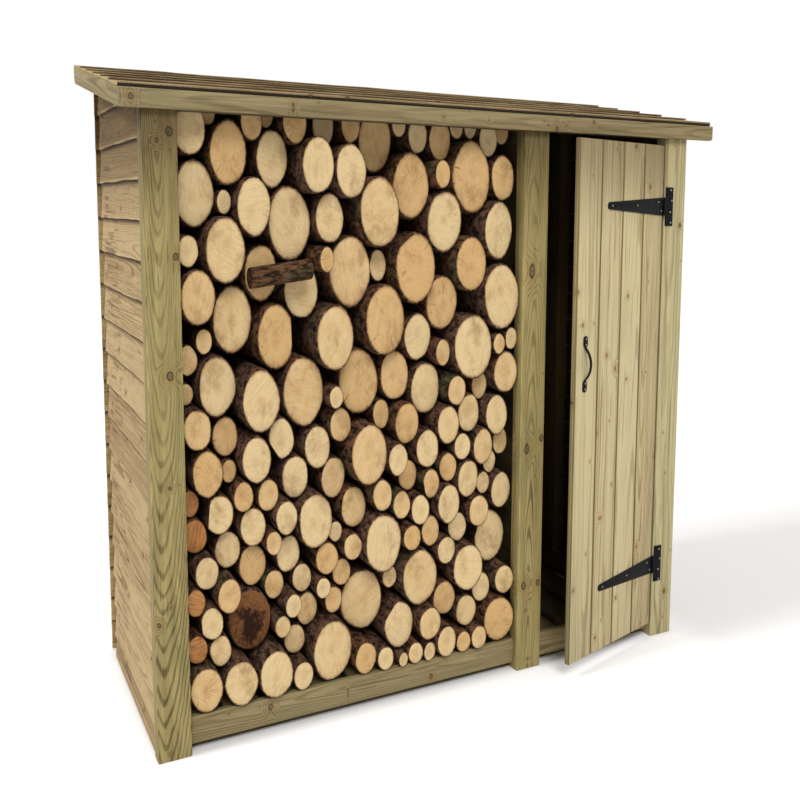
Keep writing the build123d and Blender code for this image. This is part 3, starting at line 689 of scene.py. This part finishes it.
def soften(part, angle=40):
    """Smooth shading over edges blunter than the angle."""
    pick(part)
    bpy.ops.object.shade_smooth_by_angle(angle=math.radians(angle))


def mark_faces(part, material, wanted):
    """The faces that the test accepts get one more material."""
    part.data.materials.append(material)
    index = len(part.data.materials) - 1
    for face in part.data.polygons:
        if wanted(face):
            face.material_index = index


def write_attribute(part, name, kind, data):
    """Writes one number, or three, for each point of a mesh."""
    layer = part.data.attributes.get(name) or part.data.attributes.new(name, kind, "POINT")
    layer.data.foreach_set("vector" if kind == "FLOAT_VECTOR" else "value", data)


def lay_grain(part, rng, along=None, slope=0.0, heart=None):
    """Writes each point's place in its own board, measured from the heart of the tree, and a tone."""
    low, high = corners(part)
    size = high - low
    centre = (low + high) / 2
    if along is None:
        along = max(range(3), key=lambda i: size[i])
    across, depth = sorted((i for i in range(3) if i != along), key=lambda i: -size[i])
    pith_across = rng.uniform(-0.3, 0.3) * size[across]
    pith_depth = rng.choice((-1, 1)) * (size[depth] / 2 + PITH_DEPTH * rng.uniform(0.5, 1.6))
    lean_across = rng.uniform(-0.012, 0.012)
    lean_depth = rng.uniform(-0.03, 0.03)
    if heart is not None:
        pith_across, pith_depth, lean_depth = heart[0] * size[across], heart[1], heart[2]
    shift = rng.uniform(0, 60)
    grain, side = [], []
    for vertex in part.data.vertices:
        place = vertex.co - centre
        side.append(2 * place[across] / size[across])
        if along == Y:
            place.z -= place.y * slope
        run = place[along]
        grain.append(place[across] + pith_across + lean_across * run)
        grain.append(place[depth] + pith_depth + lean_depth * run)
        grain.append(run + shift)
    write_attribute(part, "grain", "FLOAT_VECTOR", grain)
    write_attribute(part, "tone", "FLOAT", [rng.random()] * len(side))
    write_attribute(part, "side", "FLOAT", side)
    if along != Z:
        write_attribute(part, "up", "FLOAT", [v.co.z - low.z for v in part.data.vertices])


def settle_piece(piece, body, nodes, material=None):
    """Gives a finished piece its material when one is given, puts it on the body it rides on and hides the
    nodes it stands for.
    """
    if material is not None:
        piece.data.materials.clear()
        piece.data.materials.append(material)
    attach(piece, body)
    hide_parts(*nodes)


def dress_timber(node, body, material, rng, slope=0.0):
    """A sawn piece, or several in one node, with eased edges and its own grain."""
    parts = split_boards(copy_node(node, node + "_timber"))
    for part in parts:
        apply_bevel(part, settings().easing)
        soften(part)
        lay_grain(part, rng, slope=slope, heart=HEARTS.get(node))
    settle_piece(join(parts, node + "_timber"), body, [node], material)


def length_setting(name, description, default, least):
    return bpy.props.FloatProperty(name=name, description=description, default=default, min=least,
                                   unit="LENGTH")


def colour_setting(name, description, code):
    return bpy.props.FloatVectorProperty(name=name, description=description, default=rgb(code), size=4,
                                         min=0.0, max=1.0, subtype="COLOR")


class StoreSettings(bpy.types.PropertyGroup):
    """Sizes and colours that a user may change before the store is dressed."""

    easing: length_setting("Eased edge", "Width of the planed edge on posts and rails", 0.0016, 0.0002)
    wave: length_setting("Board wave", "How far the sawn edge of a wall board wanders", 0.0035, 0.0)
    roof_wave: length_setting("Roof board wave", "How far a roof board's edge wanders", 0.006, 0.0)
    bark_thickness: bpy.props.FloatProperty(
        name="Bark", description="Thickness of the bark as a share of a log's radius", default=0.045,
        min=0.01, max=0.3)
    screw_radius: length_setting("Screw head", "Radius of the screw heads", 0.0031, 0.001)
    seed: bpy.props.IntProperty(name="Seed", description="Seed of every random choice", default=7)
    post_colour: colour_setting("Posts", "Pale wood of the left and middle front posts", "A79762")
    trim_colour: colour_setting("Trim", "Pale wood of the fascia, barge boards and sills", "9A8B64")
    wall_colour: colour_setting("Walls", "Pale wood of the wall boards", "C4AB7E")
    roof_colour: colour_setting("Roof", "Pale wood of the roof boards", "9D8761")
    door_colour: colour_setting("Door", "Pale wood of the door", "C8B98F")
    log_colour: colour_setting("Logs", "Pale wood of the cut log ends", "DEC494")


def settings():
    """What the user has set in the panel."""
    return bpy.context.scene.log_store


class DressPosts(bpy.types.Operator):
    """Posts, fascia, barge boards and sills in treated softwood"""

    bl_idname = "log_store.posts"
    bl_label = "Posts and trim"

    def execute(self, context):
        rng = random.Random(settings().seed)
        for node, timber in {**POSTS, **dict.fromkeys(TRIM, "trim_timber")}.items():
            slope = ROOF_SLOPE if "barge" in node else 0.0
            dress_timber(node, "root", finish(timber), rng, slope)
        return {"FINISHED"}


class DressFraming(bpy.types.Operator):
    """Battens, rafters, rails, bearers, floors and the partition"""

    bl_idname = "log_store.framing"
    bl_label = "Framing and floors"

    def execute(self, context):
        rng = random.Random(settings().seed + 1)
        for node in FRAMING:
            slope = ROOF_SLOPE if "rafter" in node else 0.0
            dress_timber(node, "root", finish("framing_timber"), rng, slope)
        return {"FINISHED"}


def cut_along(part, axis, step):
    """Cuts a board across its length every step, so that its edges can wander."""
    low, high = corners(part)
    length = high[axis] - low[axis]
    count = max(1, round(length / step))
    normal = [0, 0, 0]
    normal[axis] = 1
    edit(part)
    for i in range(1, count):
        place = list(low)
        place[axis] = low[axis] + length * i / count
        bpy.ops.mesh.select_all(action="SELECT")
        bpy.ops.mesh.bisect(plane_co=place, plane_no=normal)
    leave_edit()


def wandering(run, shift):
    """How a sawn edge wanders along a board: a long wave and a short one."""
    long_wave = noise.noise(Vector((run * 5.0, shift, 0.0)))
    return long_wave + 0.5 * noise.noise(Vector((run * 17.0, shift, 4.0)))


def rough_board(part, axis, wave, rng, end_play, roof=False):
    """Lets the thick edge of a sawn board wander, and sets its far end back by an uneven amount."""
    low, high = corners(part)
    shift = rng.uniform(0, 90)
    end_step = rng.uniform(0, end_play)
    for vertex in part.data.vertices:
        co = vertex.co
        run = co[axis]
        wander = wandering(run, shift)
        if roof:
            edge = 1.0 - min(1.0, (co.y - low.y) / SAWN_EDGE)
            co.y += wave * edge * min(1.0, max(0.0, wander + 0.5))
            if co.z > low.z + ROOF_UNDERSIDE:
                co.z -= wave * 0.4 * edge * (1 + wander)
        else:
            edge = 1.0 - min(1.0, (co.z - low.z) / SAWN_EDGE)
            co.z += wave * edge * max(0.0, wander + 0.7)
        if run > high[axis] - 0.001:
            co[axis] -= end_step


class DressWalls(bpy.types.Operator):
    """Rough sawn feather edged boards on the two sides and the back"""

    bl_idname = "log_store.walls"
    bl_label = "Wall boards"

    def execute(self, context):
        rng = random.Random(settings().seed + 2)
        for node, inward in WALLS.items():
            axis = X if node.startswith("back") else Y
            boards = split_boards(copy_node(node, node + "_boards"))
            for board in boards:
                self.dress_board(board, axis, inward, rng)
            settle_piece(join(boards, node + "_boards"), "root", [node])
        return {"FINISHED"}

    def dress_board(self, board, axis, inward, rng):
        """One board, rough outside and darkened inside with painted shade, with pale ends where they show."""
        cut_along(board, axis, WALL_STEP)
        rough_board(board, axis, settings().wave, rng, 0.0 if axis == X else WALL_END_PLAY)
        apply_bevel(board, WALL_EASING, 1, 50)
        soften(board, 30)
        lay_grain(board, rng, axis)
        board.data.materials.append(finish("rough_boards"))
        # Faces turned inward get the painted shade of the store's inside
        mark_faces(board, finish("inside_boards"), lambda face: face.normal.dot(inward) > 0.8
                   and (axis == Y or abs(face.center.x) < BACK_POST_X))
        if axis == Y:
            mark_faces(board, finish("end_grain"), lambda face: abs(face.normal.y) > 0.9)


class DressRoof(bpy.types.Operator):
    """Lapped roof boards with uneven front edges"""

    bl_idname = "log_store.roof"
    bl_label = "Roof boards"

    def execute(self, context):
        rng = random.Random(settings().seed + 3)
        for node in ROOF:
            board = copy_node(node, node + "_sawn")
            cut_along(board, X, ROOF_STEP)
            rough_board(board, X, settings().roof_wave, rng, ROOF_END_PLAY, True)
            apply_bevel(board, ROOF_EASING, 1, 50)
            soften(board, 30)
            lay_grain(board, rng, X)
            board.data.materials.append(finish("roof_timber"))
            # The undersides of the roof boards get the painted shade of the store's inside
            mark_faces(board, finish("inside_boards"), lambda face: face.normal.z < -0.8)
            mark_faces(board, finish("roof_end_grain"), lambda face: abs(face.normal.x) > 0.9)
            if node == ROOF[0]:
                self.shade_gap(board)
            settle_piece(board, "root", [node])
        return {"FINISHED"}

    def shade_gap(self, board):
        """The lowest board's front edge gets a painted shadow line where it meets the fascia."""
        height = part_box("front_fascia")[1].z + GAP_SHADE
        edit(board)
        bpy.ops.mesh.bisect(plane_co=(0, 0, height), plane_no=(0, 0, 1))
        leave_edit()
        mark_faces(board, finish("dark_gap"), lambda face: face.normal.y < -0.7 and face.center.z < height)


class DressDoor(bpy.types.Operator):
    """The door's boards and ledges"""

    bl_idname = "log_store.door"
    bl_label = "Door"

    def execute(self, context):
        rng = random.Random(settings().seed + 4)
        dress_timber("door_ledges", "door", finish("door_timber"), rng)
        boards = split_boards(copy_node("door_boards", "door_boards_planed"))
        for board in boards:
            apply_bevel(board, DOOR_EASING, 1, 20)
            lay_grain(board, rng)
            board.data.materials.append(finish("door_timber"))
            mark_faces(board, finish("door_seams"), lambda face: 0.3 < face.normal.dot(DOOR_OUTWARD) < 0.95)
            soften(board)
        settle_piece(join(boards, "door_boards_planed"), "door", ["door_boards"])
        return {"FINISHED"}


class DressIron(bpy.types.Operator):
    """Hinges and handle in black, with bright screws"""

    bl_idname = "log_store.iron"
    bl_label = "Hinges and handle"

    def execute(self, context):
        for node, body in IRONWORK.items():
            piece = copy_node(node, node + "_iron")
            apply_bevel(piece, IRON_EASING)
            soften(piece)
            settle_piece(piece, body, [node], finish("black_iron"))
        self.add_screws()
        return {"FINISHED"}

    def add_screws(self):
        """Screws on both hinges, strap and leaf, and on the handle."""
        screw = model_screw(settings().screw_radius)
        for name in ("upper", "lower"):
            low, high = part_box(name + "_hinge_leaf")
            middle_z = (low.z + high.z) / 2
            spots = [door_face_point(run, middle_z + up) for run, up in STRAP_SCREWS]
            put_screws(screw, spots, DOOR_AJAR, name + "_strap_screws", "door")
            spots = [Vector((high.x + x, low.y, middle_z + up)) for x, up in LEAF_SCREWS]
            put_screws(screw, spots, 0.0, name + "_leaf_screws", "root")
        low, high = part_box("door_handle")
        spots = [door_face_point(HANDLE_RUN, low.z + step) for step in HANDLE_SCREWS]
        spots += [door_face_point(HANDLE_RUN, high.z - step) for step in HANDLE_SCREWS]
        put_screws(screw, spots, DOOR_AJAR, "handle_screws", "door")
        bpy.data.objects.remove(screw)


def door_face_point(run, height):
    """A place on the ironwork of the door as it stands ajar: run from the hinge line, and height."""
    place = HINGE_PLACE + DOOR_ALONG * run + DOOR_OUTWARD * IRON_FACE
    place.z = height
    return place


def model_round(vertices, radius, length, insets):
    """A short round bar along Y at the origin, its front face inset in steps of a width and a depth."""
    pick_none()
    bpy.ops.mesh.primitive_cylinder_add(vertices=vertices, radius=radius, depth=length,
                                        rotation=(math.pi / 2, 0, 0))
    made = bpy.context.object
    bpy.ops.object.transform_apply(location=True, rotation=True, scale=True)
    for face in made.data.polygons:
        face.select = face.normal.y < -0.9
    bpy.ops.object.mode_set(mode="EDIT")
    bpy.ops.mesh.select_mode(type="FACE")
    for width, depth in insets:
        bpy.ops.mesh.inset(thickness=width, depth=depth)
    leave_edit()
    return made


def model_screw(radius):
    """A low domed screw head with a small recess, facing -Y, modelled once."""
    step = radius * SCREW_STEP
    screw = model_round(12, radius, SCREW_HEIGHT, ((step, SCREW_DOME), (step, -SCREW_RECESS)))
    soften(screw, 50)
    return screw


def put_screws(template, places, turn, name, body):
    """Copies of the screw at their places, joined as one piece that rides with the ironwork."""
    copies = []
    for i, place in enumerate(places):
        screw = copy_piece(template, f"{name}_{i}")
        screw.data.transform(Matrix.Translation(place) @ Matrix.Rotation(turn, 4, "Z")
                             @ Matrix.Rotation(SCREW_TURN * i, 4, "Y"))
        copies.append(screw)
    piece = join(copies, name)
    piece.data.materials.clear()
    piece.data.materials.append(finish("bright_steel"))
    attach(piece, body)


class LogShape:
    """The random choices for one log, drawn in a fixed order."""

    def __init__(self, rng):
        self.turn = rng.uniform(0, math.tau)
        self.knobs = rng.uniform(0, 99)
        self.pith = Vector((rng.uniform(-0.2, 0.2), rng.uniform(-0.2, 0.2)))
        self.tilt = Vector((rng.uniform(-0.14, 0.14), rng.uniform(-0.08, 0.08)))
        self.side = rng.uniform(0, math.tau)
        self.chord = rng.uniform(0.7, 0.85) if rng.random() < 0.1 else 2.0
        self.shift = rng.uniform(0, 40)

    def outline(self, x, z):
        """A point of the round log after its knobs and its split side."""
        angle = math.atan2(z, x) + self.turn
        around = Vector((math.cos(angle), math.sin(angle)))
        bulge = LOG_SIZE + LOG_KNOBS * noise.noise(Vector((around.x * 1.4, around.y * 1.4, self.knobs)))
        x, z = x * bulge, z * bulge
        over = x * math.cos(self.side) + z * math.sin(self.side) - self.chord
        if over > 0:
            x, z = x - over * math.cos(self.side), z - over * math.sin(self.side)
        return x, z

    def set_back(self, x, z, girth):
        """How far a point of the tilted saw cut lies behind the foremost one."""
        return (self.tilt.x * x + self.tilt.y * z) * girth + self.tilt.length * girth

    def grain(self, x, z, girth, along):
        """A point's place from the pith, turned at random, and along the log."""
        spot = Vector((x - self.pith.x, z - self.pith.y)) * girth
        cos, sin = math.cos(self.turn), math.sin(self.turn)
        return [spot.x * cos - spot.y * sin, spot.x * sin + spot.y * cos, along + self.shift]


def log_from(template, solid, rng):
    """A copy of the template fitted to one log of the frame, with its own knobs, split side and marks."""
    low, high = corners(solid)
    centre = (low + high) / 2
    half = (high - low) / 2
    across = half.x > CROSS_LOG_WIDTH * half.z
    girth = half.z if across else half.x
    part = copy_piece(template, "log")
    shape = LogShape(rng)
    grain, rim = [], []
    for vertex in part.data.vertices:
        reach = math.hypot(vertex.co.x, vertex.co.z)
        front = vertex.co.y < 0
        x, z = shape.outline(vertex.co.x, vertex.co.z)
        drop = shape.set_back(x, z, girth)
        if reach > RIM:
            drop += girth * BARK_SHORT
        if across:
            end = high.x - drop if front else low.x
            rise = CROSS_LOG_TILT * (end - centre.x)
            height = centre.z + CROSS_LOG_HEIGHT * z * half.z + rise
            vertex.co = (end, centre.y + x * half.y, height)
        else:
            vertex.co = (centre.x + x * half.x, low.y + drop if front else high.y, centre.z + z * half.z)
        grain += shape.grain(x, z, girth, vertex.co[X if across else Y])
        rim.append(reach)
    write_attribute(part, "grain", "FLOAT_VECTOR", grain)
    write_attribute(part, "rim", "FLOAT", rim)
    mark_log(part, centre, half, 1.0 if across else rng.random())
    return part


def mark_log(part, centre, half, tone):
    """Writes a log's tone, and whether it is the rotten one or split orange wood."""
    near = (Vector((centre.x, centre.z)) - ROTTEN_LOG).length < ROTTEN_REACH
    rotten = near and half.x > ROTTEN_HALF_WIDTH
    orange = centre.x < SPLIT_WOOD_X and centre.z < SPLIT_WOOD_TOP
    marks = {"tone": tone, "rot": 1.0 if rotten else 0.0, "split": 0.8 if orange else 0.0}
    for name, value in marks.items():
        write_attribute(part, name, "FLOAT", [value] * len(part.data.vertices))


class StackLogs(bpy.types.Operator):
    """Cut logs with bark, one for each log of the frame"""

    bl_idname = "log_store.logs"
    bl_label = "Stored logs"

    def execute(self, context):
        rng = random.Random(settings().seed + 5)
        template = model_round(20, 1.0, 1.0, ((settings().bark_thickness, 0.0), (0.3, 0.0)))
        for node in LOG_COURSES:
            logs = []
            for solid in split_boards(copy_node(node, node + "_solids")):
                logs.append(log_from(template, solid, rng))
                bpy.data.objects.remove(solid)
            piece = join(logs, node + "_logs")
            self.dress_course(piece)
            settle_piece(piece, "root", [node])
        bpy.data.objects.remove(template)
        return {"FINISHED"}

    def dress_course(self, piece):
        """Cut ends within the ring of bark, and bark on the rest."""
        piece.data.materials.clear()
        piece.data.materials.append(finish("log_end"))
        rim = piece.data.attributes["rim"].data
        mark_faces(piece, finish("bark"), lambda face: max(rim[i].value for i in face.vertices) > RIM)
        soften(piece, 50)


def place_camera():
    """The photograph's viewpoint."""
    data = bpy.data.cameras.new("camera")
    camera = bpy.data.objects.new("camera", data)
    bpy.context.scene.collection.objects.link(camera)
    turn = (Matrix.Rotation(-CAMERA_YAW, 4, "Z") @ Matrix.Rotation(math.pi / 2 + CAMERA_PITCH, 4, "X")
            @ Matrix.Rotation(CAMERA_ROLL, 4, "Z"))
    camera.matrix_world = Matrix.Translation(CAMERA_PLACE) @ turn
    data.lens = CAMERA_LENS
    data.sensor_width = 36
    data.shift_x, data.shift_y = CAMERA_SHIFT
    bpy.context.scene.camera = camera


def place_sky():
    """An even pale sky that looks white to the camera."""
    world = bpy.data.worlds.new("sky")
    bpy.context.scene.world = world
    f = Nodes(world)
    sky = f.node("ShaderNodeBackground", None, {"Color": SKY_COLOUR, "Strength": SKY_STRENGTH})
    white = f.node("ShaderNodeBackground", None, {"Color": (1, 1, 1, 1), "Strength": 1.0})
    mixed = f.node("ShaderNodeMixShader", None, {0: f.seen(), 1: sky, 2: white})
    f.node("ShaderNodeOutputWorld", None, {"Surface": mixed})


def place_suns():
    """Soft daylight on the front, and a narrower light from the left."""
    for name, (strength, width, direction) in SUNS.items():
        sun = bpy.data.lights.new(name, "SUN")
        sun.energy = strength
        sun.angle = math.radians(width)
        lamp = bpy.data.objects.new(name, sun)
        bpy.context.scene.collection.objects.link(lamp)
        lamp.rotation_euler = Vector(direction).to_track_quat("-Z", "Y").to_euler()


def floor_finish():
    """Pale floor that keeps the store's shadow and looks white to the camera elsewhere."""
    f = Finish("pale_floor")
    x, y, _ = f.axes(f.place())
    beside = f.smooth(f.maths("ABSOLUTE", x), *BESIDE_STORE)
    before = f.smooth(f.maths("ABSOLUTE", y), *BEFORE_STORE)
    shaded = f.smooth(x, *SHADOW_ACROSS) * f.smooth(y, *SHADOW_DEPTH)
    glow = f.seen() * f.maths("MAXIMUM", beside, before) * (1.0 - shaded * SHADOW_SHARE)
    shader = f.node("ShaderNodeBsdfPrincipled", None, {
        "Base Color": rgb("E8E8E8"), "Roughness": 0.9, "Specular IOR Level": 0.0,
        "Emission Color": f.mix(glow, rgb("000000"), rgb("FFFFFF")), "Emission Strength": FLOOR_GLOW,
    })
    f.node("ShaderNodeOutputMaterial", None, {"Surface": shader})
    return f.material


def place_floor():
    """The floor under the store."""
    pick_none()
    bpy.ops.mesh.primitive_plane_add(size=FLOOR_SIZE, location=(0, 0, cad_low.z))
    floor = bpy.context.object
    floor.name = "floor"
    floor.data.materials.append(floor_finish())


class SetStage(bpy.types.Operator):
    """Floor, daylight and camera"""

    bl_idname = "log_store.stage"
    bl_label = "Stage"

    def execute(self, context):
        place_camera()
        place_sky()
        place_suns()
        place_floor()
        context.scene.view_settings.view_transform = "Standard"
        return {"FINISHED"}


class StorePanel(bpy.types.Panel):
    """Sidebar panel that lists the steps in order"""

    bl_idname = "VIEW3D_PT_log_store"
    bl_label = "Log Store"
    bl_space_type = "VIEW_3D"
    bl_region_type = "UI"
    bl_category = "Log Store"

    def draw(self, context):
        for name in StoreSettings.__annotations__:
            self.layout.prop(settings(), name)
        for step in STEPS:
            self.layout.operator(step.bl_idname)


STEPS = (DressPosts, DressFraming, DressWalls, DressRoof, DressDoor, DressIron, StackLogs, SetStage)


def register():
    for part in (StoreSettings, *STEPS, StorePanel):
        bpy.utils.register_class(part)
    bpy.types.Scene.log_store = bpy.props.PointerProperty(type=StoreSettings)


def unregister():
    del bpy.types.Scene.log_store
    for part in reversed((StoreSettings, *STEPS, StorePanel)):
        bpy.utils.unregister_class(part)


def main():
    register()
    for step in STEPS:
        group, name = step.bl_idname.split(".")
        getattr(getattr(bpy.ops, group), name)()


if __name__ == "__main__":
    main()
